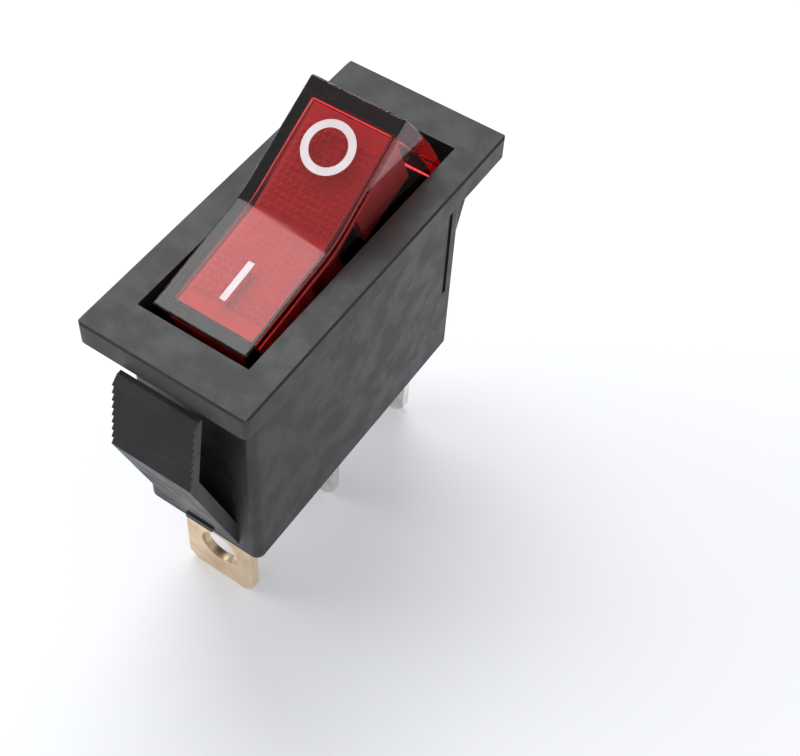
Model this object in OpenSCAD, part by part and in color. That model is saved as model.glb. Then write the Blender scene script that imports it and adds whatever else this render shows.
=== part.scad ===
// Illuminated panel rocker switch, single pole, with three 6.3 mm tabs.
// Origin: centre of the bezel's underside, which seats on the panel.
// +Z leaves the panel, Y runs along the rocker, its O end at +Y and its I end at -Y.
// The rocker is drawn with its I end pressed: contacts closed.

/* [Bezel] */
// Length of the bezel, along the rocker
bezel_l = 31; // [29:0.1:36]
// Width of the bezel
bezel_w = 13.8; // [13:0.1:18]
// Thickness of the bezel
bezel_t = 2; // [1.4:0.1:3]
// Radius of the bezel's four upright corners
bezel_corner_r = 0.5; // [0.2:0.1:1.2]
// Width of the small chamfer round the bezel's top
bezel_edge = 0.15; // [0.05:0.05:0.4]

/* [Body] */
// Length of the body below the bezel
body_l = 25.8; // [25.4:0.1:27]
// Width of the body
body_w = 10.4; // [10.2:0.1:11.6]
// Depth of the body below the bezel
body_d = 20.2; // [19.8:0.1:24]
// Radius of the body's upright corners
body_corner_r = 0.7; // [0.3:0.1:1]
// Thickness of the body's long side walls
side_wall = 0.65; // [0.5:0.05:0.7]
// Thickness of the body's end walls
end_wall = 0.8; // [0.6:0.05:0.9]
// Thickness of the base that holds the terminals
floor_t = 1.4; // [1:0.1:2]
// Depth of the upright groove in each long side
groove_depth = 0.2; // [0.1:0.05:0.3]
// Width of that groove
groove_w = 0.5; // [0.3:0.1:1]

/* [Snap wings] */
// Width of each wing
wing_w = 6.7; // [5:0.1:8]
// Thickness of each wing
wing_t = 1.0; // [0.7:0.05:1.2]
// How far the wing stands off the end of the body when free
wing_reach = 4.5; // [3.5:0.1:5]
// Height of the serrated face
serrated_h = 5.6; // [4:0.1:7]
// How far the serrated face leans back over its height
serrated_lean = 0.9; // [0.3:0.1:1.5]
// Number of serrations
tooth_count = 8; // [5:1:12]
// Depth of the serrations
tooth_depth = 0.3; // [0.15:0.05:0.4]
// Gap between the wing's free end and the plane of the panel
wing_top_gap = 0.45; // [0.2:0.05:1]
// Height of the smooth bevel above the serrations
wing_bevel_h = 0.6; // [0.3:0.1:1]

/* [Terminals] */
// Width of the tabs
blade_w = 6.3; // [6.1:0.1:6.4]
// Thickness of the tabs
blade_t = 0.8; // [0.7:0.05:0.85]
// Length of the tabs below the base
blade_l = 9.4; // [8:0.1:11]
// Bevel across the two corners of each tip
blade_bevel = 0.8; // [0.4:0.1:1.2]
// Diameter of the large wire hole
wire_hole_d = 3.4; // [2:0.1:3.8]
// Distance from the base to the centre of the large hole
wire_hole_drop = 5.4; // [4.6:0.1:6]
// Diameter of the small hole near the base
small_hole_d = 2.1; // [1.4:0.1:2.2]
// Distance from the base to the centre of the small hole
small_hole_drop = 1.7; // [1.5:0.1:2]
// Reach of the locking ears beside each tab
ear_reach = 1.3; // [0.6:0.1:1.5]
// Height of the locking ears
ear_h = 1.1; // [0.7:0.1:1.4]
// Distance from the line tab to the O end of the body
line_inset = 2.5; // [2.3:0.1:2.9]
// Distance from the lamp tab to the I end of the body
lamp_inset = 1.9; // [1.7:0.1:2.3]
// Clearance round a terminal in its slot
slot_clear = 0.04; // [0.02:0.01:0.06]

/* [Rocker] */
// Angle of the rocker either side of its middle
rocker_tilt = 21.3; // [17:0.1:21.3]
// Depth of the pivot below the bezel's underside
pivot_drop = 1.2; // [1.1:0.05:1.5]
// Diameter of the rocker's trunnions
trunnion_d = 2; // [1.4:0.1:2]
// Radial clearance of the trunnions in the housing
pivot_clear = 0.05; // [0.02:0.01:0.09]
// Gap between the rocker's feet and the ends of the opening
rocker_end_gap = 1.1; // [0.9:0.1:1.5]
// Height of the top edges above the pivot
rocker_h = 7.2; // [6.6:0.1:7.4]
// Depth of the valley between the two halves of the top
valley_depth = 1.7; // [1.2:0.1:1.8]
// Radius that blends the valley
valley_r = 9; // [4:1:14]
// Width across the top of the rocker
rocker_top_w = 7.7; // [7.3:0.1:8]
// Gap between the rocker and each side wall
rocker_side_gap = 0.25; // [0.15:0.01:0.35]
// How far the end faces stand out at their foot
flare_l = 1.44; // [1:0.02:1.5]
// How far the rocker's skirt reaches below the pivot
skirt_drop = 2.6; // [2:0.1:3]
// Thickness of the rocker's side walls
lens_side_t = 0.65; // [0.5:0.05:0.75]
// Thickness of the rocker's end walls
lens_end_t = 1.05; // [0.8:0.05:1.3]
// Thickness of the rocker's top
lens_top_t = 1.2; // [0.9:0.05:1.4]

/* [Lamp carrier] */
// Gap between the carrier and the inside of the rocker
carrier_gap = 0.1; // [0.05:0.01:0.15]
// Gap that leaves room for the stipple under the rocker's top
stipple_gap = 0.35; // [0.2:0.05:0.5]
// Thickness of the carrier's plate and rails
carrier_t = 0.7; // [0.5:0.05:0.8]
// Outer diameter of the post that guides the plunger
post_d = 3.8; // [3.7:0.1:4.2]
// Length of the post below the pivot
post_drop = 7.5; // [6.5:0.1:8]
// Diameter of the neon bulb
bulb_d = 3; // [2.6:0.1:3]
// Gap between the neon bulb and the end of the carrier
bulb_end_gap = 0.2; // [0.1:0.1:0.6]
// Wall of the bulb's glass
glass_t = 0.3; // [0.2:0.05:0.4]
// Diameter of the resistor
resistor_d = 1.8; // [1.5:0.1:2]
// Length of bare wire from the resistor to the lamp spring's seat
resistor_wire_l = 1.2; // [1:0.1:1.6]
// Diameter of the lamp's wires
lead_d = 0.4; // [0.3:0.05:0.45]

/* [Contacts] */
// Diameter of the plunger
plunger_d = 2.6; // [2.2:0.05:2.7]
// Radial clearance of the plunger in its post
plunger_clear = 0.05; // [0.02:0.01:0.09]
// Radius of the plunger's tip
plunger_tip_r = 1; // [0.8:0.05:1.05]
// Height of the see-saw's edge above the floor inside
fulcrum_h = 3.3; // [3.1:0.05:3.5]
// Width of the see-saw lever
lever_w = 4.4; // [3.6:0.1:4.6]
// Thickness of the see-saw lever
lever_t = 0.4; // [0.3:0.05:0.45]
// Rise of the lever's arms from its middle
lever_rise = 15; // [14:0.5:16]
// Angle of the lever either side of its middle
lever_tilt = 7; // [6:0.25:7.5]
// Radius of the edge that the lever rocks on
knife_r = 0.25; // [0.2:0.01:0.28]
// Distance from the line tab to the contacts
contact_inset = 3; // [2.8:0.1:3.3]
// Diameter of the contacts
contact_d = 2.6; // [2:0.1:3]
// Height of a contact's head
contact_h = 0.6; // [0.4:0.05:0.7]
// Gap that the closed contacts are drawn with
contact_gap = 0.1; // [0.08:0.01:0.15]

/* [Springs] */
// Wire diameter of the plunger's spring
main_wire = 0.35; // [0.25:0.05:0.4]
// Turns of the plunger's spring
main_turns = 7; // [5:1:9]
// Wire diameter of the lamp's spring
lamp_wire = 0.3; // [0.2:0.05:0.35]
// Outer diameter of the lamp's spring
lamp_spring_d = 2.4; // [2:0.1:2.6]
// Height of the lamp spring's lower seat above the floor inside
lamp_shelf_h = 7.3; // [7:0.1:7.6]
// Turns of the lamp's spring
lamp_turns = 6; // [4:1:8]

/* [Hidden] */
$fn = 48;
eps = 0.01;          // overlap where one moulding is joined from parts

black = [0.16, 0.165, 0.17];
red = [0.85, 0.05, 0.04];
white = [0.93, 0.92, 0.88];
nickel = [0.78, 0.77, 0.74];
brass = [0.80, 0.62, 0.36];
copper = [0.78, 0.48, 0.32];
silver = [0.86, 0.86, 0.87];
steel = [0.62, 0.63, 0.65];

// Housing
open_l = body_l - 2 * end_wall;
open_w = body_w - 2 * side_wall;
rocker_half_l = open_l / 2 - rocker_end_gap - flare_l;
line_y = body_l / 2 - line_inset;
lamp_y = body_l / 2 - lamp_inset;
contact_arm = line_y - contact_inset;
body_bottom = -body_d;
floor_top = body_bottom + floor_t;
pivot_z = -pivot_drop;
pivot_bore_d = trunnion_d + 2 * pivot_clear;
wing_root_y = body_l / 2;
wing_foot_z = body_bottom + 0.6;
wing_out_y = wing_root_y + wing_reach;
serrated_top_z = -wing_top_gap - wing_bevel_h;
serrated_foot_z = serrated_top_z - serrated_h;
wing_arm_rise = wing_t * (serrated_foot_z - wing_foot_z) / wing_reach;
groove_y = body_l / 2 - 1.5;
groove_h = body_d * 0.45;
groove_z = -body_d * 0.42;

// Lever, in its own frame: the edge it rocks on is its origin
fulcrum_z = floor_top + fulcrum_h;
knife_clear = 0.05;
saddle_r = knife_r + knife_clear;
arm_over = 1.3;
plunger_y = (pivot_z - fulcrum_z) * sin(rocker_tilt) * 0.9;
idle_over = 0.7;
idle_arm = plunger_y + plunger_tip_r + idle_over;
live_arm = contact_arm + arm_over;
rivet_shank_d = contact_d * 0.45;
rivet_tail_d = contact_d * 0.7;
rivet_tail_h = 0.25;
rivet_fit = 0.03;
head_h = contact_h + rivet_fit;
closed_angle = lever_rise - lever_tilt;
closed_y = contact_arm * cos(closed_angle) + head_h * sin(closed_angle);
closed_z = fulcrum_z + contact_arm * sin(closed_angle) - head_h * cos(closed_angle);
shelf_top_z = closed_z - contact_gap - head_h;

// Plunger, in the rocker's frame: the pivot is its origin, Z is up through the rocker
saddle_top = saddle_r + lever_t;
plunger_play = 0.12;
plunger_tip_z = -(pivot_z - fulcrum_z - saddle_top - plunger_play);
plunger_top_z = -4.2;
shoulder_z = plunger_top_z - 0.7;
post_bore_d = plunger_d + 2 * plunger_clear;

// Rocker, in its own frame
valley_z = rocker_h - valley_depth;
top_slope = atan(valley_depth / rocker_half_l);
foot_half_l = rocker_half_l + flare_l;
end_foot_z = -1.5;
lens_foot_w = open_w - 2 * rocker_side_gap;
lens_in_top_w = rocker_top_w - 2 * lens_side_t;
carrier_w = lens_in_top_w - 2 * carrier_gap;
carrier_end = rocker_half_l - lens_end_t - carrier_gap;
rail_from = post_d / 2 + 0.9;
ceiling_drop = lens_top_t + stipple_gap;
plate_foot_z = valley_z - ceiling_drop - carrier_t;
bore_top_z = plate_foot_z - 0.2;
bulb_z = bore_top_z - bulb_d / 2 - 0.25;
bulb_y = post_d / 2 + 1.1;
bulb_l = carrier_end - bulb_end_gap - bulb_y;
rail_foot_z = bulb_z - 0.9;
spring_seat_y = carrier_end - lamp_spring_d / 2;
spring_seat_z = -1.4;
cradle_clear = 0.05;
seat_t = 0.7;
stud_h = 0.8;

// Route of the lamp's wires, in the rocker's frame
solder_gap = 0.02;   // between a wire's end and the piece it is joined to
stem_x = 0.6;        // the bulb's two stems, either side of its axis
stem_end = 0.2;      // how far the stems stand out of the bulb
turn_y = bulb_y + bulb_l + 0.7;
low_z = bulb_z - bulb_d / 2 - 0.45;
post_side = post_d / 2 + 0.65;
post_near = post_d / 2 + 0.45;
bore_hole_z = bore_top_z - 0.5;
resistor_from = post_near + 0.4 + solder_gap;
resistor_l = spring_seat_y - resistor_wire_l - resistor_from;
sleeve_y = -post_d / 2;
sleeve_l = turn_y - 2.2 - sleeve_y;
sleeve_d = lead_d + 0.4;

// Terminals and ribs inside the body
line_shelf_l = contact_inset + contact_d / 2 + 0.3;
lamp_shelf_z = floor_top + lamp_shelf_h;
plunger_sweep = (pivot_z - lamp_shelf_z + blade_t) * tan(rocker_tilt)
    + plunger_d / 2 / cos(rocker_tilt);
sweep_gap = 0.25;
lamp_shelf_y = plunger_sweep + sweep_gap;
lamp_shelf_l = lamp_y - lamp_shelf_y;
spring_base_y = lamp_shelf_y + lamp_spring_d / 2 + 0.1;
spring_gap = 0.1;    // between a spring's end and its seat
rib_t = 0.8;
tab_gap = 0.4;       // between a tab and the rib beside it
stop_gap = 0.3;
cheek_h = 1.8;
cheek_in = lever_w / 2 + 0.15;
ear_drop = 0.35;

// ---------------------------------------------------------------- helpers

// Points on an arc, centre c, radius r, from angle a to angle b
function arc(c, r, a, b, n) =
    [for (i = [0 : n]) c + r * [cos(a + (b - a) * i / n), sin(a + (b - a) * i / n)]];

// A plate in the XZ plane, thick along Y and centred on it
module upright(t) {
    rotate([90, 0, 0]) linear_extrude(height = t, center = true) children();
}

// A side outline in the YZ plane, drawn with Y across and Z up, w wide along X
module sideways(w) {
    rotate([90, 0, 90]) linear_extrude(height = w, center = true) children();
}

// The frame of the rocker: tilted about its pivot
module in_rocker() {
    translate([0, 0, pivot_z]) rotate([rocker_tilt, 0, 0]) children();
}

// The frame of the lever: tilted on the load terminal's edge
module in_lever() {
    translate([0, 0, fulcrum_z]) rotate([-lever_tilt, 0, 0]) children();
}

// A block with upright rounded corners, standing on z = 0
module rounded_block(size, r) {
    linear_extrude(height = size[2]) union() {
        square([size[0] - 2 * r, size[1]], center = true);
        square([size[0], size[1] - 2 * r], center = true);
        for (x = [-1, 1], y = [-1, 1])
            translate([x * (size[0] / 2 - r), y * (size[1] / 2 - r)]) circle(r = r, $fn = 32);
    }
}

// A tube of n sides swept along points, closed at both ends.
// No stretch of it may run along the direction up, which sets how its rings are turned.
module swept(points, r, n, up = [0, 0, 1]) {
    last = len(points) - 1;
    rings = [
        for (i = [0 : last])
            let (
                ahead = points[min(i + 1, last)] - points[max(i - 1, 0)],
                side = cross(ahead, up) / norm(cross(ahead, up)),
                over = cross(side, ahead) / norm(ahead)
            )
            for (k = [0 : n - 1])
                points[i] + r * (cos(360 * k / n) * side + sin(360 * k / n) * over)
    ];
    sides = [
        for (i = [0 : last - 1], k = [0 : n - 1])
            let (a = i * n + k, b = i * n + (k + 1) % n)
            each [[a, b, b + n], [a, b + n, a + n]]
    ];
    polyhedron(
        rings,
        concat([[for (k = [n - 1 : -1 : 0]) k]], sides, [[for (k = [0 : n - 1]) last * n + k]])
    );
}

// A compression spring along Z from z = 0, its end turns closed up
module coil(d, wire, h, turns) {
    steps = 14;
    n = turns * steps;
    r = (d - wire) / 2;
    pitch_rise = h - wire;
    // end turns climb a little over one wire, the others share the rest
    closed = 1.2 * wire;
    rise = function (t) t < 1 ? closed * t
        : t > turns - 1 ? pitch_rise - closed * (turns - t)
        : closed + (pitch_rise - 2 * closed) * (t - 1) / (turns - 2);
    swept([for (i = [0 : n])
        let (t = i / steps) [r * cos(360 * t), r * sin(360 * t), wire / 2 + rise(t)]],
        wire / 2, 6);
}

// Points with each corner rounded, starting r before it and ending r after it
function rounded(points, r) = concat(
    [points[0]],
    [for (i = [1 : len(points) - 2])
        let (
            corner = points[i],
            back = points[i - 1] - corner,
            on = points[i + 1] - corner,
            a = corner + back / norm(back) * r,
            b = corner + on / norm(on) * r
        )
        for (t = [0 : 0.25 : 1]) (1 - t) * (1 - t) * a + 2 * t * (1 - t) * corner + t * t * b],
    [points[len(points) - 1]]
);

// A round wire through points, its bends rounded
module wire(points, d) {
    swept(rounded(points, d / 2), d / 2, 8, [0.48, 0.36, 0.8]);
}

// ---------------------------------------------------------------- housing

module bezel_plate() {
    difference() {
        rounded_block([bezel_w, bezel_l, bezel_t], bezel_corner_r);
        for (s = [-1, 1]) {
            translate([s * bezel_w / 2, 0, bezel_t]) rotate([0, 45, 0])
                cube([bezel_edge * sqrt(2), bezel_l + 2, bezel_edge * sqrt(2)], center = true);
            translate([0, s * bezel_l / 2, bezel_t]) rotate([45, 0, 0])
                cube([bezel_w + 2, bezel_edge * sqrt(2), bezel_edge * sqrt(2)], center = true);
        }
    }
}

// Outline of one snap wing, from the foot of the body's end wall to its free end
module wing_outline() {
    pitch = serrated_h / tooth_count;
    lean = serrated_lean / tooth_count;
    inner_y = wing_out_y - wing_t;
    polygon(concat(
        [[wing_root_y - end_wall / 2, wing_foot_z], [wing_root_y, wing_foot_z]],
        // teeth, from the lowest up
        [for (i = [0 : tooth_count - 1])
            each [
                [wing_out_y - lean * i, serrated_foot_z + pitch * i],
                [wing_out_y - lean * (i + 0.8) - tooth_depth, serrated_foot_z + pitch * (i + 0.75)]
            ]],
        [
            [wing_out_y - serrated_lean, serrated_top_z],
            [wing_out_y - serrated_lean - wing_bevel_h, -wing_top_gap],
            [inner_y - serrated_lean, -wing_top_gap],
            [inner_y, serrated_foot_z],
            [wing_root_y, wing_foot_z + wing_arm_rise],
            [wing_root_y - end_wall / 2, wing_foot_z + wing_arm_rise]
        ]
    ));
}

module snap_wing() {
    rib = 0.5;
    sideways(wing_w) wing_outline();
    // small rib across the wing's foot
    translate([0, wing_root_y + rib / 2, wing_foot_z + rib])
        cube([wing_w * 0.36, rib, rib], center = true);
}

module terminal_slot(y) {
    translate([0, y, body_bottom + floor_t / 2])
        cube([blade_w + 2 * slot_clear, blade_t + 2 * slot_clear, floor_t + 2], center = true);
}

// A rib from side to side, standing on the floor, its inner face at y and thick outwards
module floor_rib(y, t, top_z) {
    translate([-open_w / 2 - eps, y, floor_top - eps])
        cube([open_w + 2 * eps, t, top_z - floor_top + eps]);
}

// Ribs that carry the terminals' shelves, and the stop for the lever's idle arm
module inner_ribs() {
    line_rib_y = line_y - blade_t / 2 - tab_gap - rib_t;
    lamp_rib_y = -lamp_y + blade_t / 2 + tab_gap;
    stop_y = -(idle_arm - 0.2);
    stop_z = fulcrum_z + (idle_arm - 0.2 - rib_t) * sin(closed_angle) - stop_gap;
    floor_rib(line_rib_y, rib_t, shelf_top_z - blade_t - slot_clear);
    floor_rib(lamp_rib_y, rib_t, lamp_shelf_z - blade_t - slot_clear);
    floor_rib(stop_y, rib_t, stop_z);
}

module housing() {
    color(black) {
        difference() {
            union() {
                bezel_plate();
                translate([0, 0, body_bottom])
                    rounded_block([body_w, body_l, body_d + eps], body_corner_r);
                snap_wing();
                mirror([0, 1, 0]) snap_wing();
            }
            // cavity
            translate([-open_w / 2, -open_l / 2, floor_top])
                cube([open_w, open_l, bezel_t - floor_top + 1]);
            // pivot holes through both side walls
            translate([0, 0, pivot_z]) rotate([0, 90, 0])
                cylinder(d = pivot_bore_d, h = body_w + 2, center = true);
            for (y = [line_y, 0, -lamp_y]) terminal_slot(y);
            // upright groove near the O end of each long side
            for (s = [-1, 1])
                translate([s * body_w / 2, groove_y, groove_z])
                    cube([2 * groove_depth, groove_w, groove_h], center = true);
        }
        inner_ribs();
    }
}

// ---------------------------------------------------------------- rocker

// Half outline of the rocker's side, from the middle of the top to the foot of one end.
// inset moves the end face in, drop moves the top down.
function half_side(inset, drop) =
    let (
        reach = rocker_half_l - inset,
        z0 = valley_z - drop,
        bow = 0.25
    )
    concat(
        // blended valley
        arc([0, z0 + valley_r / cos(top_slope)], valley_r, 270, 270 + top_slope, 4),
        // top corner, then the gently bowed end face
        [[reach, z0 + reach * tan(top_slope)]],
        [for (i = [1 : 5])
            let (t = i / 5, top_z = z0 + reach * tan(top_slope))
            [reach + flare_l * t + bow * 4 * t * (1 - t), top_z + (end_foot_z - top_z) * t]]
    );

// Whole side outline, closed at the depth foot_z
module rocker_side(inset, drop, foot_z) {
    half = half_side(inset, drop);
    foot = foot_half_l - inset;
    polygon(concat([[foot, foot_z]], [for (i = [len(half) - 1 : -1 : 1]) half[i]],
        [half[0]], [for (i = [1 : len(half) - 1]) [-half[i][0], half[i][1]]],
        [[-foot, foot_z]]));
}

// End view of the rocker: drafted sides above the pivot, upright below it
module rocker_front(inset, foot_z) {
    top = rocker_top_w / 2 - inset;
    foot = lens_foot_w / 2 - inset;
    high = rocker_h + 1;
    grow = (foot - top) / rocker_h;
    polygon([[-foot, foot_z], [foot, foot_z], [foot, 0], [top - grow, high],
        [-top + grow, high], [-foot, 0]]);
}

// Solid of the rocker's outer or inner form
module rocker_form(side_inset, end_inset, drop, foot_z) {
    intersection() {
        sideways(lens_foot_w + 1) rocker_side(end_inset, drop, foot_z);
        upright(2 * foot_half_l + 2) rocker_front(side_inset, foot_z);
    }
}

module rocker_lens() {
    trunnion_l = side_wall + rocker_side_gap + lens_side_t / 2;
    color(red) in_rocker() {
        difference() {
            rocker_form(0, 0, 0, -skirt_drop);
            rocker_form(lens_side_t, lens_end_t, lens_top_t, -skirt_drop - 1);
        }
        for (s = [-1, 1])
            translate([s * (lens_foot_w / 2 - lens_side_t / 2), 0, 0])
                rotate([0, s * 90, 0]) cylinder(d = trunnion_d, h = trunnion_l - 0.05);
    }
}

// Cross rib that cradles a round piece of diameter d, open at its foot
module cradle(y, d) {
    rib = 0.5;
    join = 0.2;
    translate([0, y, 0]) difference() {
        translate([0, 0, (rail_foot_z + plate_foot_z) / 2 + join])
            cube([carrier_w - 2 * join, rib, plate_foot_z - rail_foot_z + 2 * join], center = true);
        translate([0, 0, bulb_z]) rotate([90, 0, 0])
            cylinder(d = d + 2 * cradle_clear, h = 2, center = true);
        translate([0, 0, rail_foot_z])
            cube([d * 0.8, 2, 2 * (bulb_z - rail_foot_z)], center = true);
    }
}

// Height of the carrier plate's underside, y from the middle
function plate_z(y) = plate_foot_z + abs(y) * tan(top_slope);

// One half of the carrier: plate, two rails and the end skirt
module carrier_half() {
    join = 0.1;
    skirt_foot = bulb_z + bulb_d / 2 + 2 * cradle_clear;
    sideways(carrier_w) polygon([
        [-join, plate_z(0)], [carrier_end, plate_z(carrier_end)],
        [carrier_end, plate_z(carrier_end) + carrier_t], [join, plate_z(0) + carrier_t],
        [-join, plate_z(0) + carrier_t]
    ]);
    for (s = [-1, 1])
        translate([s * (carrier_w - carrier_t) / 2, 0, 0]) sideways(carrier_t) polygon([
            [rail_from, rail_foot_z], [carrier_end, rail_foot_z],
            [carrier_end, plate_z(carrier_end) + join], [rail_from, plate_z(rail_from) + join]
        ]);
    translate([-carrier_w / 2, carrier_end - carrier_t, skirt_foot])
        cube([carrier_w, carrier_t, plate_z(carrier_end) - skirt_foot + join]);
}

// Seat and stud of the lamp spring, hung from the rails
module spring_seat() {
    seat_w = carrier_w - 2 * carrier_t + 0.2;
    seat_l = 2 * (carrier_end - spring_seat_y);
    translate([0, -spring_seat_y, spring_seat_z + seat_t / 2])
        cube([seat_w, seat_l, seat_t], center = true);
    for (s = [-1, 1])
        translate([s * (carrier_w - carrier_t) / 2, -spring_seat_y,
            (spring_seat_z + bulb_z) / 2])
            cube([carrier_t, seat_l, bulb_z - spring_seat_z], center = true);
    translate([0, -spring_seat_y, spring_seat_z - stud_h])
        cylinder(d = lamp_spring_d - 2 * lamp_wire - 0.3, h = stud_h + 0.2, $fn = 32);
}

module lamp_carrier() {
    color(white) in_rocker() difference() {
        union() {
            carrier_half();
            mirror([0, 1, 0]) carrier_half();
            // post
            translate([0, 0, -post_drop])
                cylinder(d = post_d, h = post_drop + plate_foot_z + 0.3);
            cradle(bulb_y + 1.2, bulb_d);
            cradle(bulb_y + bulb_l - 0.8, bulb_d);
            cradle(-(rail_from + 0.9), resistor_d);
            spring_seat();
        }
        // bore of the post
        translate([0, 0, -post_drop - 1])
            cylinder(d = post_bore_d, h = post_drop + 1 + bore_top_z);
        // hole for the bulb's wire at the top of the bore
        translate([0, 0, bore_hole_z]) rotate([-90, 0, 0])
            cylinder(d = lead_d + 0.3, h = post_d, $fn = 24);
        // hole for the resistor's wire through the seat and its stud
        translate([0, -spring_seat_y, spring_seat_z - 2])
            cylinder(d = lead_d + 0.1, h = 4, $fn = 24);
    }
}

// ---------------------------------------------------------------- lamp circuit

module neon_bulb() {
    r = bulb_d / 2;
    color("lightgoldenrodyellow", 0.6) in_rocker() translate([0, bulb_y, bulb_z])
        rotate([-90, 0, 0]) difference() {
            // round nose towards the post, flat pinch at the other end
            rotate_extrude($fn = 32) polygon(concat(
                arc([0, r], r, 270, 360, 8), [[r, bulb_l - 0.5], [r - 0.3, bulb_l], [0, bulb_l]]));
            rotate_extrude($fn = 32) polygon(concat(
                arc([0, r], r - glass_t, 270, 360, 8),
                [[r - glass_t, bulb_l - 1.1], [0, bulb_l - 1.1]]));
            for (s = [-1, 1]) translate([s * stem_x, 0, bulb_l - 2])
                cylinder(d = lead_d + 2 * solder_gap, h = 4, $fn = 24);
        }
}

module bulb_electrodes() {
    rod_l = bulb_l - 2.4;
    stem_l = bulb_l - 1.1 + stem_end;
    color(nickel) in_rocker() for (s = [-1, 1])
        translate([s * stem_x, bulb_y + 1.1, bulb_z]) rotate([-90, 0, 0]) {
            cylinder(d = 0.7, h = rod_l, $fn = 24);
            cylinder(d = lead_d, h = stem_l, $fn = 24);
        }
}

// From the bulb under it to the top of the post's bore
module bulb_lead() {
    color(nickel) in_rocker() wire([
        [stem_x, bulb_y + bulb_l + stem_end + solder_gap, bulb_z], [stem_x, turn_y, bulb_z],
        [stem_x, turn_y, low_z], [0, turn_y - 0.8, low_z], [0, post_near, low_z],
        [0, post_near, bore_hole_z], [0, 0.3, bore_hole_z]
    ], lead_d);
}

// From the bulb past the post to the resistor
module link_lead() {
    color(nickel) in_rocker() wire([
        [-stem_x, bulb_y + bulb_l + stem_end + solder_gap, bulb_z], [-stem_x, turn_y, bulb_z],
        [-stem_x, turn_y, low_z], [-post_side, turn_y - 1.6, low_z],
        [-post_side, -post_near, low_z], [0, -post_near, low_z],
        [0, -post_near, bulb_z], [0, -resistor_from + solder_gap, bulb_z]
    ], lead_d);
}

module lead_sleeve() {
    color(black) in_rocker()
        translate([-post_side, sleeve_y, low_z]) rotate([-90, 0, 0]) difference() {
            cylinder(d = sleeve_d, h = sleeve_l, $fn = 24);
            translate([0, 0, -1])
                cylinder(d = lead_d + 2 * solder_gap, h = sleeve_l + 2, $fn = 24);
        }
}

// Moulded body with a cap at each end
module resistor() {
    r = resistor_d / 2;
    waist = r - 0.15;
    cap_l = 0.75;
    slope = 0.2;
    color("tan") in_rocker() translate([0, -resistor_from, bulb_z]) rotate([90, 0, 0])
        rotate_extrude($fn = 32) polygon([
            [0, 0], [waist, 0], [r, slope], [r, cap_l], [waist, cap_l + slope],
            [waist, resistor_l - cap_l - slope], [r, resistor_l - cap_l],
            [r, resistor_l - slope], [waist, resistor_l], [0, resistor_l]
        ]);
}

module resistor_lead() {
    color(nickel) in_rocker() wire([
        [0, -resistor_from - resistor_l - solder_gap, bulb_z], [0, -spring_seat_y, bulb_z],
        [0, -spring_seat_y, spring_seat_z - stud_h]
    ], lead_d);
}

// ---------------------------------------------------------------- plunger and springs

module plunger() {
    tip = plunger_tip_r;
    r = plunger_d / 2;
    color(brass) in_rocker() rotate_extrude($fn = 48) polygon(concat(
        [[0, plunger_top_z], [0, plunger_tip_z]],
        arc([0, plunger_tip_z + tip], tip, 270, 350, 8),
        [[r, plunger_tip_z + tip + 0.6], [r, shoulder_z],
         [r - 0.5, shoulder_z], [r - 0.6, plunger_top_z]]
    ));
}

module plunger_spring() {
    gap = 0.03;
    foot_z = shoulder_z + gap;
    top_z = bore_hole_z - lead_d / 2 - gap;
    color(steel) in_rocker() translate([0, 0, foot_z])
        coil(plunger_d - 0.1, main_wire, top_z - foot_z, main_turns);
}

// Leans from the lamp terminal's shelf to the stud on the carrier
module lamp_spring() {
    top_y = -spring_seat_y * cos(rocker_tilt) - spring_seat_z * sin(rocker_tilt);
    top_z = pivot_z - spring_seat_y * sin(rocker_tilt) + spring_seat_z * cos(rocker_tilt);
    base_z = lamp_shelf_z + spring_gap;
    lean = atan2(-spring_base_y - top_y, top_z - base_z);
    lift = lamp_spring_d / 2 * abs(sin(lean));
    tilted_gap = lamp_spring_d / 2 * abs(sin(rocker_tilt - lean)) + lift + spring_gap / 2;
    color(steel) translate([0, -spring_base_y, base_z + lift]) rotate([lean, 0, 0])
        coil(lamp_spring_d, lamp_wire,
            norm([spring_base_y + top_y, top_z - base_z]) - tilted_gap, lamp_turns);
}

// ---------------------------------------------------------------- contacts

// Bent strip: a saddle over the edge and two rising arms, as one outline
module lever_outline() {
    outer_r = saddle_r + lever_t;
    lift = [-sin(lever_rise), cos(lever_rise)] * lever_t;
    along = [cos(lever_rise), sin(lever_rise)];
    turn = lever_rise + asin(lever_t / outer_r);
    live_end = along * live_arm;
    idle_end = along * idle_arm;
    polygon(concat(
        arc([0, 0], saddle_r, lever_rise, 180 - lever_rise, 12),
        [[-idle_end[0], idle_end[1]], [-idle_end[0] - lift[0], idle_end[1] + lift[1]]],
        arc([0, 0], outer_r, 180 - turn, turn, 10),
        [live_end + lift, live_end]
    ));
}

module contact_lever() {
    color(copper) in_lever() difference() {
        sideways(lever_w) lever_outline();
        rotate([lever_rise, 0, 0]) translate([0, contact_arm, -lever_t])
            cylinder(d = rivet_shank_d + 2 * rivet_fit, h = 3 * lever_t, $fn = 32);
    }
}

// Rivet head with a slightly domed face, pointing up from z = 0
module rivet_head() {
    rotate_extrude($fn = 48) polygon([
        [0, 0], [contact_d / 2, 0], [contact_d / 2, contact_h * 0.6],
        [contact_d / 2 - 0.15, contact_h * 0.8], [contact_d / 4, contact_h * 0.96],
        [0, contact_h]
    ]);
}

// Rivet through a sheet of thickness t below z = 0
module contact_rivet(t) {
    translate([0, 0, rivet_fit]) rivet_head();
    translate([0, 0, -t - rivet_fit - eps])
        cylinder(d = rivet_shank_d, h = t + 2 * rivet_fit + 2 * eps, $fn = 32);
    translate([0, 0, -t - rivet_fit - rivet_tail_h])
        cylinder(d = rivet_tail_d, h = rivet_tail_h, $fn = 32);
}

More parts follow.
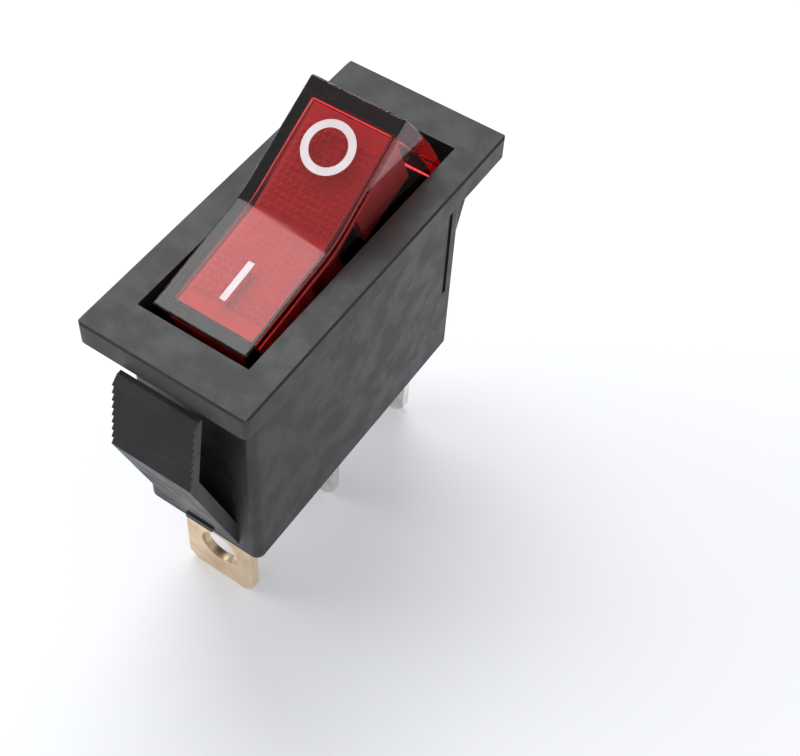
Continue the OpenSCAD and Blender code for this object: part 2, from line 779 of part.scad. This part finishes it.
module moving_contact() {
    color(silver) in_lever() rotate([lever_rise, 0, 0])
        translate([0, contact_arm, 0]) rotate([180, 0, 0])
            contact_rivet(lever_t);
}

module fixed_contact() {
    color(silver) translate([0, closed_y, shelf_top_z]) contact_rivet(blade_t);
}

// ---------------------------------------------------------------- terminals

// The tab below the base, seen along Y, with its ears
module tab_outline(top_z, notch) {
    half = blade_w / 2;
    tip_z = body_bottom - blade_l;
    difference() {
        union() {
            polygon([
                [-half, top_z], [half, top_z], [half, tip_z + blade_bevel],
                [half - blade_bevel, tip_z], [-half + blade_bevel, tip_z],
                [-half, tip_z + blade_bevel]
            ]);
            // locking ears with round ends
            for (s = [-1, 1]) {
                ear_z = body_bottom - ear_drop - ear_h / 2;
                translate([s * (half + ear_reach / 2 - ear_h / 4), ear_z])
                    square([ear_reach - ear_h / 2 + 0.3, ear_h], center = true);
                translate([s * (half + ear_reach - ear_h / 2), ear_z])
                    circle(d = ear_h, $fn = 24);
            }
        }
        translate([0, body_bottom - wire_hole_drop]) circle(d = wire_hole_d);
        if (notch)
            translate([0, body_bottom - small_hole_drop / 2 - 0.3])
                square([small_hole_d, small_hole_drop], center = true);
        else
            translate([0, body_bottom - small_hole_drop]) circle(d = small_hole_d);
    }
}

module line_terminal() {
    color(nickel) difference() {
        union() {
            translate([0, line_y, 0]) upright(blade_t) tab_outline(shelf_top_z, true);
            translate([-blade_w / 2, line_y - line_shelf_l, shelf_top_z - blade_t])
                cube([blade_w, line_shelf_l, blade_t]);
        }
        translate([0, closed_y, shelf_top_z - blade_t - 1])
            cylinder(d = rivet_shank_d + 2 * rivet_fit, h = blade_t + 2, $fn = 32);
    }
}

module load_terminal() {
    neck_z = fulcrum_z - knife_r - 1;
    cheek_foot_z = neck_z - 1;
    cheek_top_z = fulcrum_z + cheek_h;
    color(nickel) {
        upright(blade_t) {
            tab_outline(neck_z, false);
            // cheeks beside the lever
            for (s = [-1, 1])
                translate([s * (cheek_in + blade_w / 2) / 2, (cheek_foot_z + cheek_top_z) / 2])
                    square([blade_w / 2 - cheek_in, cheek_top_z - cheek_foot_z], center = true);
        }
        // edge that the lever rocks on, tapered from the sheet
        sideways(2 * cheek_in + 0.1) polygon(concat(
            [[-blade_t / 2, neck_z - 0.5], [blade_t / 2, neck_z - 0.5], [blade_t / 2, neck_z]],
            arc([0, fulcrum_z], knife_r, 0, 180, 12), [[-blade_t / 2, neck_z]]));
    }
}

module lamp_terminal() {
    color(brass) union() {
        translate([0, -lamp_y, 0]) upright(blade_t) tab_outline(lamp_shelf_z, false);
        translate([-blade_w / 2, -lamp_y, lamp_shelf_z - blade_t])
            cube([blade_w, lamp_shelf_l, blade_t]);
    }
}

housing();
rocker_lens();
lamp_carrier();
plunger();
plunger_spring();
contact_lever();
moving_contact();
fixed_contact();
line_terminal();
load_terminal();
lamp_terminal();
lamp_spring();
neon_bulb();
bulb_electrodes();
resistor();
bulb_lead();
link_lead();
lead_sleeve();
resistor_lead();
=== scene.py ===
import math

import bpy
from mathutils import Matrix, Vector


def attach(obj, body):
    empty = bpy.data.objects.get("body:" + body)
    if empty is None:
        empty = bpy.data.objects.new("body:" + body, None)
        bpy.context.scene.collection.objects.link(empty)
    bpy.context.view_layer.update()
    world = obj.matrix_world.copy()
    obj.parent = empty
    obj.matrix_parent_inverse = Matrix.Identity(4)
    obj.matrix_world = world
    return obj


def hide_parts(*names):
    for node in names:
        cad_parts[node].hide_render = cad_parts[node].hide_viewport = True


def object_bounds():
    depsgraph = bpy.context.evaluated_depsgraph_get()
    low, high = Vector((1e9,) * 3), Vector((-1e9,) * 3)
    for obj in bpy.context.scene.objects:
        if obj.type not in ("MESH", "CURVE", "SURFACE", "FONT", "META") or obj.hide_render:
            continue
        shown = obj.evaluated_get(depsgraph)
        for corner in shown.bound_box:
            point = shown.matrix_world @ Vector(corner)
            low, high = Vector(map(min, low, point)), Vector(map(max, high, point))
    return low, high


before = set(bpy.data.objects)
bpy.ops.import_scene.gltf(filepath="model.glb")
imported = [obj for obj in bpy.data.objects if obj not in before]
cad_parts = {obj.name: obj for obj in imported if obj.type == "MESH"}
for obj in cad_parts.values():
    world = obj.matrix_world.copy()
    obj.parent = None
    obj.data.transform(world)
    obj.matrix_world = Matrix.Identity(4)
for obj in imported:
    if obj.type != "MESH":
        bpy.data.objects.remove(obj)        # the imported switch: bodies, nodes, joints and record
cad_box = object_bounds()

MM = 0.001

# The rocker's own frame: the pivot is its origin and Z is up through the rocker
PIVOT_Z = -1.2 * MM
TILT = math.radians(21.3)
ROCKER_FRAME = Matrix.Translation((0, 0, PIVOT_Z)) @ Matrix.Rotation(TILT, 4, "X")
HALF_L = 9.56 * MM              # middle of the rocker to its top edge
ROCKER_H = 7.2 * MM
VALLEY_Z = 5.5 * MM
SLOPE = math.atan((ROCKER_H - VALLEY_Z) / HALF_L)
CARRIER_W = 6.2 * MM
CARRIER_END = 8.41 * MM
CARRIER_TOP_DROP = 1.55 * MM    # the rocker's top down to the carrier's face

# Rounded edges, narrow enough to keep each piece's size
CASE_EDGE = 0.07 * MM
LENS_EDGE = 0.16 * MM
TAB_EDGE = 0.05 * MM

# Stipple: rows of small pyramids on the carrier, with a plain strip at each end
PITCH = 0.52 * MM
PYRAMID_H = 0.2 * MM
PLAIN_END = 1.45 * MM
STIPPLE_BASE = 0.06 * MM        # plate that the pyramids stand on
STIPPLE_SIDE = 0.1 * MM         # bare carrier beside the plate
STIPPLE_MIDDLE = 0.2 * MM       # bare carrier either side of the valley
STIPPLE_LIFT = 0.01 * MM

# Printed marks on the top of the rocker
MARK_T = 0.03 * MM
MARK_LIFT = 0.004 * MM
RING_Y = 5.6 * MM
RING_OUTER_R = 1.98 * MM
RING_INNER_R = 1.40 * MM
RING_SIDES = 72
BAR_Y = -5.35 * MM
BAR_W = 0.5 * MM
BAR_L = 3.3 * MM
BAR_CORNER = 0.05 * MM


# ------------------------------------------------------------------ modelling

def only(obj):
    """Selects obj alone, in object mode."""
    if bpy.context.object and bpy.context.object.mode != "OBJECT":
        bpy.ops.object.mode_set(mode="OBJECT")
    bpy.ops.object.select_all(action="DESELECT")
    obj.select_set(True)
    bpy.context.view_layer.objects.active = obj


def edit(obj):
    """Opens obj in edit mode with everything selected."""
    only(obj)
    bpy.ops.object.mode_set(mode="EDIT")
    bpy.ops.mesh.select_all(action="SELECT")


def leave_edit():
    bpy.ops.object.mode_set(mode="OBJECT")


def face_outwards():
    """Turns every face of the mesh in edit mode outwards, then leaves edit mode."""
    bpy.ops.mesh.select_all(action="SELECT")
    bpy.ops.mesh.normals_make_consistent(inside=False)
    leave_edit()


def apply(obj, kind, **values):
    """Adds a modifier with these values and applies it."""
    only(obj)
    mod = obj.modifiers.new(kind.lower(), kind)
    for key, value in values.items():
        setattr(mod, key, value)
    bpy.ops.object.modifier_apply(modifier=mod.name)


def place(obj, matrix):
    """Moves obj by matrix and leaves the move in its mesh."""
    only(obj)
    obj.matrix_world = matrix @ obj.matrix_world
    bpy.ops.object.transform_apply(location=True, rotation=True, scale=True)


def copy_of(node, name):
    """A copy of a CAD node with its triangles joined into whole faces."""
    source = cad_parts[node]
    obj = source.copy()
    obj.data = source.data.copy()
    obj.name = obj.data.name = name
    bpy.context.scene.collection.objects.link(obj)
    obj.parent = None
    obj.matrix_world = Matrix.Identity(4)
    obj.data.materials.clear()
    edit(obj)
    bpy.ops.mesh.remove_doubles(threshold=1e-6)
    bpy.ops.mesh.dissolve_limited(angle_limit=math.radians(0.4))
    face_outwards()
    return obj


def paint(obj, *materials):
    obj.data.materials.clear()
    for material in materials:
        obj.data.materials.append(material)


def smooth(obj, angle=46):
    only(obj)
    bpy.ops.object.shade_smooth_by_angle(angle=math.radians(angle))
    apply(obj, "WEIGHTED_NORMAL", keep_sharp=True, weight=80)


def soften(obj, width, segments=2, angle=28, edge_slot=-1):
    """Rounds the sharp edges; the new faces take the material in edge_slot."""
    apply(obj, "BEVEL", width=width, segments=segments, limit_method="ANGLE",
          angle_limit=math.radians(angle), material=edge_slot, miter_outer="MITER_ARC",
          use_clamp_overlap=True)
    smooth(obj)


def join(pieces, name):
    only(pieces[0])
    for piece in pieces[1:]:
        piece.select_set(True)
    bpy.ops.object.join()
    pieces[0].name = pieces[0].data.name = name
    return pieces[0]


def half_frame(side):
    """A flat half of the rocker's top: origin in the valley, Y up the slope."""
    turn = Matrix.Rotation(SLOPE if side > 0 else -SLOPE, 4, "X")
    return ROCKER_FRAME @ Matrix.Translation((0, 0, VALLEY_Z)) @ turn


def finish(obj, body, slot, *nodes):
    """Sets the body a piece rides on and hides the nodes it stands for; slot is not used."""
    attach(obj, body)
    if nodes:
        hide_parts(*nodes)


# ------------------------------------------------------------------ materials

def rgb(r, g, b):
    return (r, g, b, 1.0)


def new_group(name, inputs, outputs):
    tree = bpy.data.node_groups.new(name, "ShaderNodeTree")
    for label, kind, value in inputs:
        socket = tree.interface.new_socket(name=label, in_out="INPUT", socket_type=kind)
        socket.default_value = value
    for label, kind in outputs:
        tree.interface.new_socket(name=label, in_out="OUTPUT", socket_type=kind)
    return tree, tree.nodes.new("NodeGroupInput"), tree.nodes.new("NodeGroupOutput")


def add(tree, kind, values=None, **inputs):
    """A node with its settings in values and its sockets in inputs.

    A socket is named with _ for a space, or numbered as _0, and takes a value or a link.
    """
    node = tree.nodes.new(kind)
    for key, value in (values or {}).items():
        setattr(node, key, value)
    for key, value in inputs.items():
        socket = node.inputs[int(key[1:])] if key[0] == "_" else node.inputs[key.replace("_", " ")]
        if isinstance(value, bpy.types.NodeSocket):
            tree.links.new(value, socket)
        else:
            socket.default_value = value
    return node


def maths(tree, operation, *inputs):
    """The result of a Math node on up to three values or links."""
    numbered = {f"_{place}": value for place, value in enumerate(inputs)}
    return add(tree, "ShaderNodeMath", {"operation": operation}, **numbered).outputs[0]


def noise(tree, vector, scale, detail, roughness=0.5):
    return add(tree, "ShaderNodeTexNoise", Vector=vector, Scale=scale, Detail=detail,
               Roughness=roughness).outputs[0]


def object_coordinates(tree):
    return add(tree, "ShaderNodeTexCoord").outputs["Object"]


def band(tree, value, low, high, to_low=0.0, to_high=1.0):
    """Value from low to high, eased into the range to_low to to_high."""
    return add(tree, "ShaderNodeMapRange", {"interpolation_type": "SMOOTHSTEP"}, Value=value,
               From_Min=low, From_Max=high, To_Min=to_low, To_Max=to_high).outputs[0]


def blend(tree, factor, a, b):
    """Colour a to colour b by factor."""
    return add(tree, "ShaderNodeMix", {"data_type": "RGBA"}, Factor=factor, _6=a, _7=b).outputs[2]


def bump(tree, height, distance, strength=1.0):
    return add(tree, "ShaderNodeBump", Height=height, Distance=distance,
               Strength=strength).outputs[0]


def grain_group():
    """Moulded plastic: fine grain and slow mottling."""
    tree, inp, out = new_group(
        "moulded grain",
        [("Grain", "NodeSocketFloat", 5000.0), ("Mottle", "NodeSocketFloat", 300.0)],
        [("Height", "NodeSocketFloat"), ("Mottling", "NodeSocketFloat")])
    where = object_coordinates(tree)
    fine = noise(tree, where, inp.outputs["Grain"], 3.0, 0.6)
    slow = noise(tree, where, inp.outputs["Mottle"], 5.0, 0.62)
    tree.links.new(fine, out.inputs["Height"])
    tree.links.new(band(tree, slow, 0.3, 0.7), out.inputs["Mottling"])
    return tree


def scuff_group():
    """Thin scratches in two directions, in patches; Cover is how much they cover."""
    tree, inp, out = new_group(
        "scuffs",
        [("Scale", "NodeSocketFloat", 1.0), ("Cover", "NodeSocketFloat", 0.35)],
        [("Mask", "NodeSocketFloat")])
    where = object_coordinates(tree)
    masks = []
    for turn, seed in ((0.5, 0.0), (-0.9, 3.7)):
        mapped = add(tree, "ShaderNodeMapping", Vector=where, Rotation=(seed, turn, turn + seed),
                     Scale=(350, 6000, 3500)).outputs[0]
        masks.append(band(tree, noise(tree, mapped, inp.outputs["Scale"], 2.0), 0.62, 0.74))
    both = maths(tree, "MAXIMUM", *masks)
    patch = noise(tree, where, 260.0, 3.0)
    here = maths(tree, "LESS_THAN", patch, inp.outputs["Cover"])
    tree.links.new(maths(tree, "MULTIPLY", both, here), out.inputs["Mask"])
    return tree


def rolled_group():
    """Rolled sheet: long faint streaks and slow staining."""
    tree, inp, out = new_group(
        "rolled sheet",
        [("Along", "NodeSocketVector", (400, 9000, 400))],
        [("Streaks", "NodeSocketFloat"), ("Stain", "NodeSocketFloat")])
    where = object_coordinates(tree)
    long_way = add(tree, "ShaderNodeVectorMath", {"operation": "MULTIPLY"}, _0=where,
                   _1=inp.outputs["Along"]).outputs[0]
    tree.links.new(noise(tree, long_way, 1.0, 4.0, 0.6), out.inputs["Streaks"])
    tree.links.new(band(tree, noise(tree, where, 420.0, 5.0, 0.6), 0.35, 0.7),
                   out.inputs["Stain"])
    return tree


GRAIN = grain_group()
SCUFFS = scuff_group()
ROLLED = rolled_group()


def use(tree, group, **inputs):
    """Places a group in a material with its own values."""
    node = tree.nodes.new("ShaderNodeGroup")
    node.node_tree = group
    for key, value in inputs.items():
        node.inputs[key].default_value = value
    return node.outputs


def start(name):
    """A new material's node tree with its Principled shader."""
    material = bpy.data.materials.new(name)
    material.use_nodes = True
    tree = material.node_tree
    return material, tree, tree.nodes["Principled BSDF"]


def wire_up(tree, shader, **links):
    for key, value in links.items():
        socket = shader.inputs[key.replace("_", " ")]
        if isinstance(value, bpy.types.NodeSocket):
            tree.links.new(value, socket)
        else:
            socket.default_value = value


def nylon(name, dark, light, rough_low, rough_high, worn, cover=0.4):
    """Black moulded nylon: grain, mottling and rubbed marks."""
    material, tree, shader = start(name)
    moulded = use(tree, GRAIN, Grain=5200.0, Mottle=420.0)
    marks = use(tree, SCUFFS, Scale=1.0, Cover=cover)
    colour = blend(tree, moulded["Mottling"], dark, light)
    colour = blend(tree, marks["Mask"], colour, worn)
    rough = band(tree, moulded["Mottling"], 0.0, 1.0, rough_low, rough_high)
    wire_up(tree, shader, Base_Color=colour, Roughness=rough,
            Normal=bump(tree, moulded["Height"], 0.018 * MM, 0.8), IOR=1.5)
    return material


def lens_plastic():
    """Clear red moulding; its depth of colour comes from how thick it is."""
    material, tree, shader = start("red lens")
    moulded = use(tree, GRAIN, Grain=1800.0, Mottle=500.0)
    marks = use(tree, SCUFFS, Scale=1.0, Cover=0.45)
    rough = band(tree, moulded["Mottling"], 0.0, 1.0, 0.035, 0.09)
    wire_up(tree, shader, Roughness=rough, Base_Color=rgb(1.0, 0.93, 0.92), IOR=1.49,
            Transmission_Weight=1.0,
            Normal=bump(tree, marks["Mask"], 0.006 * MM, 0.5))
    depth = add(tree, "ShaderNodeVolumeAbsorption", Color=rgb(0.94, 0.0, 0.06), Density=1300.0)
    tree.links.new(depth.outputs[0], tree.nodes["Material Output"].inputs["Volume"])
    return material


def plain(name, dark, light, rough, relief=0.01, **sockets):
    """Any simple moulding or coating: mottled colour and fine relief, in millimetres."""
    material, tree, shader = start(name)
    moulded = use(tree, GRAIN, Grain=3000.0, Mottle=600.0)
    wire_up(tree, shader, Base_Color=blend(tree, moulded["Mottling"], dark, light),
            Roughness=band(tree, moulded["Mottling"], 0.0, 1.0, rough * 0.85, rough * 1.15),
            Normal=bump(tree, moulded["Height"], relief * MM), **sockets)
    return material


def sheet_metal(name, clean, stained, rough_low, rough_high, along=(400, 400, 9000),
                relief=0.006):
    """Rolled or sheared metal: streaks, stains and a satin shine; relief in millimetres."""
    material, tree, shader = start(name)
    rolled = use(tree, ROLLED, Along=along)
    marks = use(tree, SCUFFS, Scale=1.0, Cover=0.5)
    rough = maths(tree, "MULTIPLY_ADD", rolled["Streaks"], rough_high - rough_low, rough_low)
    rough = maths(tree, "MULTIPLY_ADD", marks["Mask"], 0.12, rough)
    wire_up(tree, shader, Metallic=1.0, Roughness=rough,
            Base_Color=blend(tree, rolled["Stain"], clean, stained),
            Normal=bump(tree, rolled["Streaks"], relief * MM, 0.6))
    return material


SHEARED = (2500, 9000, 2500)    # streaks of a cut edge, close together all ways

NYLON = nylon("black nylon", rgb(0.020, 0.021, 0.021), rgb(0.028, 0.029, 0.028), 0.42, 0.56,
              rgb(0.045, 0.048, 0.050))
# Lighter nylon for the rounded edges: partly rubbed wear, partly a painted highlight for the light
# caught along the edges
NYLON_WORN_HIGHLIT_EDGE = nylon("black nylon worn and highlit edge", rgb(0.035, 0.036, 0.036), rgb(0.060, 0.061, 0.060),
                   0.34, 0.50, rgb(0.11, 0.11, 0.11), cover=0.55)
LENS = lens_plastic()
INK = plain("white ink", rgb(0.86, 0.74, 0.75), rgb(0.93, 0.84, 0.84), 0.5, relief=0.004)
CARRIER = plain("white carrier", rgb(0.80, 0.78, 0.74), rgb(0.88, 0.86, 0.82), 0.45)
NICKEL = sheet_metal("nickel plate", rgb(0.74, 0.72, 0.68), rgb(0.58, 0.55, 0.50), 0.22, 0.42)
NICKEL_EDGE = sheet_metal("nickel sheared edge", rgb(0.86, 0.84, 0.80), rgb(0.70, 0.66, 0.60),
                          0.18, 0.45, along=SHEARED, relief=0.015)
BRASS = sheet_metal("brass sheet", rgb(0.83, 0.66, 0.46), rgb(0.66, 0.48, 0.31), 0.26, 0.46)
BRASS_EDGE = sheet_metal("brass sheared edge", rgb(0.90, 0.72, 0.50), rgb(0.75, 0.55, 0.36),
                         0.20, 0.45, along=SHEARED, relief=0.015)
TURNED = sheet_metal("turned brass", rgb(0.80, 0.62, 0.34), rgb(0.68, 0.50, 0.27), 0.15, 0.30,
                     along=(500, 500, 7000))
COPPER = sheet_metal("copper strip", rgb(0.80, 0.47, 0.31), rgb(0.60, 0.33, 0.22), 0.22, 0.42)
SILVER = sheet_metal("silver contact", rgb(0.88, 0.87, 0.86), rgb(0.62, 0.60, 0.58), 0.2, 0.4)
WIRE = sheet_metal("drawn wire", rgb(0.66, 0.67, 0.69), rgb(0.50, 0.50, 0.52), 0.2, 0.38)
TINNED = sheet_metal("tinned wire", rgb(0.74, 0.73, 0.72), rgb(0.60, 0.59, 0.57), 0.28, 0.42)
GLASS = plain("bulb glass", rgb(0.94, 0.95, 0.96), rgb(0.98, 0.98, 0.99), 0.03,
              Transmission_Weight=1.0, IOR=1.5)
LACQUER = plain("tan lacquer", rgb(0.52, 0.37, 0.22), rgb(0.64, 0.47, 0.29), 0.35)
SLEEVE = plain("black sleeve", rgb(0.018, 0.018, 0.018), rgb(0.03, 0.03, 0.03), 0.55)


# ------------------------------------------------------------------ housing

case = copy_of("housing", "case")
paint(case, NYLON, NYLON_WORN_HIGHLIT_EDGE)
# the rounded edges' new faces take the lighter edge nylon, a painted highlight with rubbed wear
soften(case, CASE_EDGE, segments=2, angle=25, edge_slot=1)
finish(case, "housing_body", "nylon_black", "housing")


# ------------------------------------------------------------------ rocker

lens = copy_of("rocker_lens", "lens")
paint(lens, LENS)
soften(lens, LENS_EDGE, segments=3, angle=35)
finish(lens, "rocker", "lens_red", "rocker_lens")


def stipple_plate(side):
    """The stippled plate on one half of the carrier: a grid, raised, each face a pyramid."""
    across = int((CARRIER_W - 2 * STIPPLE_SIDE) / PITCH)
    along = int((CARRIER_END / math.cos(SLOPE) - PLAIN_END - 0.25 * MM) / PITCH)
    bpy.ops.object.select_all(action="DESELECT")
    bpy.ops.mesh.primitive_grid_add(x_subdivisions=across, y_subdivisions=along, size=1)
    plate = bpy.context.object
    plate.scale = (across * PITCH, along * PITCH, 1)
    plate.location = (0, side * (STIPPLE_MIDDLE + along * PITCH / 2), 0)
    bpy.ops.object.transform_apply(location=True, rotation=True, scale=True)
    edit(plate)
    bpy.ops.mesh.extrude_region_move(TRANSFORM_OT_translate={"value": (0, 0, STIPPLE_BASE)})
    bpy.ops.mesh.poke(offset=PYRAMID_H)
    face_outwards()
    drop = STIPPLE_LIFT - CARRIER_TOP_DROP * math.cos(SLOPE)
    place(plate, half_frame(side) @ Matrix.Translation((0, 0, drop)))
    return plate


stipple = join([stipple_plate(-1), stipple_plate(1)], "stipple")
paint(stipple, CARRIER)
finish(stipple, "rocker", "carrier_white")


def print_mark(obj, name, y):
    """Gives a flat outline in edit mode the ink's thickness and sets it on the rocker at y."""
    bpy.ops.mesh.extrude_region_move(TRANSFORM_OT_translate={"value": (0, 0, MARK_T)})
    face_outwards()
    obj.name = obj.data.name = name
    up_slope = y / math.cos(SLOPE)
    place(obj, half_frame(y) @ Matrix.Translation((0, up_slope, MARK_LIFT)))
    paint(obj, INK)
    finish(obj, "rocker", "carrier_white")


# O
bpy.ops.object.select_all(action="DESELECT")
bpy.ops.mesh.primitive_circle_add(vertices=RING_SIDES, radius=RING_OUTER_R)
off_mark = bpy.context.object
edit(off_mark)
bpy.ops.mesh.primitive_circle_add(vertices=RING_SIDES, radius=RING_INNER_R)
bpy.ops.mesh.select_all(action="SELECT")
bpy.ops.mesh.bridge_edge_loops()
print_mark(off_mark, "off_mark", RING_Y)

# I
bpy.ops.object.select_all(action="DESELECT")
bpy.ops.mesh.primitive_plane_add(size=1)
on_mark = bpy.context.object
on_mark.scale = (BAR_W, BAR_L, 1)
bpy.ops.object.transform_apply(location=True, rotation=True, scale=True)
edit(on_mark)
bpy.ops.mesh.bevel(offset=BAR_CORNER, segments=2, affect="VERTICES")
bpy.ops.mesh.select_all(action="SELECT")
print_mark(on_mark, "on_mark", BAR_Y)


# ------------------------------------------------------------------ terminals

for node, name, flat, sheared, slot in (
        ("line_terminal", "line_tab", NICKEL, NICKEL_EDGE, "nickel_plate"),
        ("load_terminal", "load_tab", NICKEL, NICKEL_EDGE, "nickel_plate"),
        ("lamp_terminal", "lamp_tab", BRASS, BRASS_EDGE, "brass_sheet")):
    tab = copy_of(node, name)
    paint(tab, flat, sheared)
    # the sheared faces stand along the sheet's edge
    for face in tab.data.polygons:
        if abs(face.normal.y) < 0.5:
            face.material_index = 1
    soften(tab, TAB_EDGE, segments=2, angle=40)
    finish(tab, "housing_body", slot, node)


# ------------------------------------------------------------------ inner pieces

for node, material in (
        ("lamp_carrier", CARRIER), ("plunger", TURNED), ("plunger_spring", WIRE),
        ("contact_lever", COPPER), ("moving_contact", SILVER), ("fixed_contact", SILVER),
        ("lamp_spring", WIRE), ("neon_bulb", GLASS), ("bulb_electrodes", TINNED),
        ("resistor", LACQUER), ("bulb_lead", TINNED), ("link_lead", TINNED),
        ("lead_sleeve", SLEEVE), ("resistor_lead", TINNED)):
    paint(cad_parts[node], material)


# ------------------------------------------------------------------ stage and light

FLOOR_SIZE = 4
FLOOR_GLOW = 0.22               # lifts the floor to near white, to the eye and in reflections
SKY_STRENGTH = 0.62

bpy.ops.object.select_all(action="DESELECT")
bpy.ops.mesh.primitive_plane_add(size=FLOOR_SIZE, location=(0, 0, cad_box[0].z))
floor = bpy.context.object
floor.name = "floor"
material, tree, shader = start("pale floor")
soft = add(tree, "ShaderNodeTexNoise", Scale=8.0, Detail=2.0)
tone = blend(tree, soft.outputs[0], rgb(0.80, 0.81, 0.84), rgb(0.83, 0.84, 0.86))
wire_up(tree, shader, Base_Color=tone, Roughness=0.75, Specular_IOR_Level=0.2)
paths = add(tree, "ShaderNodeLightPath").outputs
seen = maths(tree, "MAXIMUM", paths["Is Camera Ray"], paths["Is Glossy Ray"])
seen = maths(tree, "MAXIMUM", seen, paths["Is Transmission Ray"])
lift = maths(tree, "MULTIPLY", seen, FLOOR_GLOW)
glow = add(tree, "ShaderNodeEmission", Color=rgb(0.96, 0.97, 1.0), Strength=lift)
both = add(tree, "ShaderNodeAddShader", _0=shader.outputs[0], _1=glow.outputs[0])
tree.links.new(both.outputs[0], tree.nodes["Material Output"].inputs["Surface"])
paint(floor, material)

world = bpy.context.scene.world or bpy.data.worlds.new("studio")
bpy.context.scene.world = world
world.use_nodes = True
tree = world.node_tree
tree.nodes.clear()
where = add(tree, "ShaderNodeTexCoord")
height = add(tree, "ShaderNodeSeparateXYZ", Vector=where.outputs["Generated"])
sky = blend(tree, band(tree, height.outputs["Z"], -0.05, 0.9), rgb(0.42, 0.43, 0.46),
            rgb(0.95, 0.96, 0.98))
paths = add(tree, "ShaderNodeLightPath").outputs
view = blend(tree, paths["Is Camera Ray"], sky, rgb(0.96, 0.965, 0.98))
air = add(tree, "ShaderNodeBackground", Color=view, Strength=SKY_STRENGTH)
out = add(tree, "ShaderNodeOutputWorld")
tree.links.new(air.outputs[0], out.inputs["Surface"])


def softbox(name, where, aim, size, power, colour=(1, 1, 1)):
    """A rectangular lamp at where, facing aim."""
    light = bpy.data.lights.new(name, "AREA")
    light.shape = "RECTANGLE"
    light.size, light.size_y = size
    light.energy = power
    light.color = colour
    obj = bpy.data.objects.new(name, light)
    bpy.context.scene.collection.objects.link(obj)
    obj.location = where
    obj.rotation_euler = (Vector(aim) - Vector(where)).to_track_quat("-Z", "Y").to_euler()


softbox("ceiling panel", (-0.16, 0.16, 0.34), (0, 0, 0), (0.34, 0.26), 1.0)
softbox("window", (-0.30, -0.12, 0.16), (0, 0, -0.01), (0.22, 0.22), 0.35, (0.96, 0.98, 1.0))

camera_data = bpy.data.cameras.new("camera")
camera_data.lens = 68.22
camera_data.sensor_width = 36
camera_data.shift_x, camera_data.shift_y = 0.0553, -0.1098
camera_data.clip_start, camera_data.clip_end = 0.002, 20
camera = bpy.data.objects.new("camera", camera_data)
camera.location = (0.04116, -0.05598, 0.07864)
camera.rotation_euler = [math.radians(a) for a in (39.653, -1.233, 34.748)]
bpy.context.scene.collection.objects.link(camera)
bpy.context.scene.camera = camera
bpy.context.scene.view_settings.view_transform = "Standard"
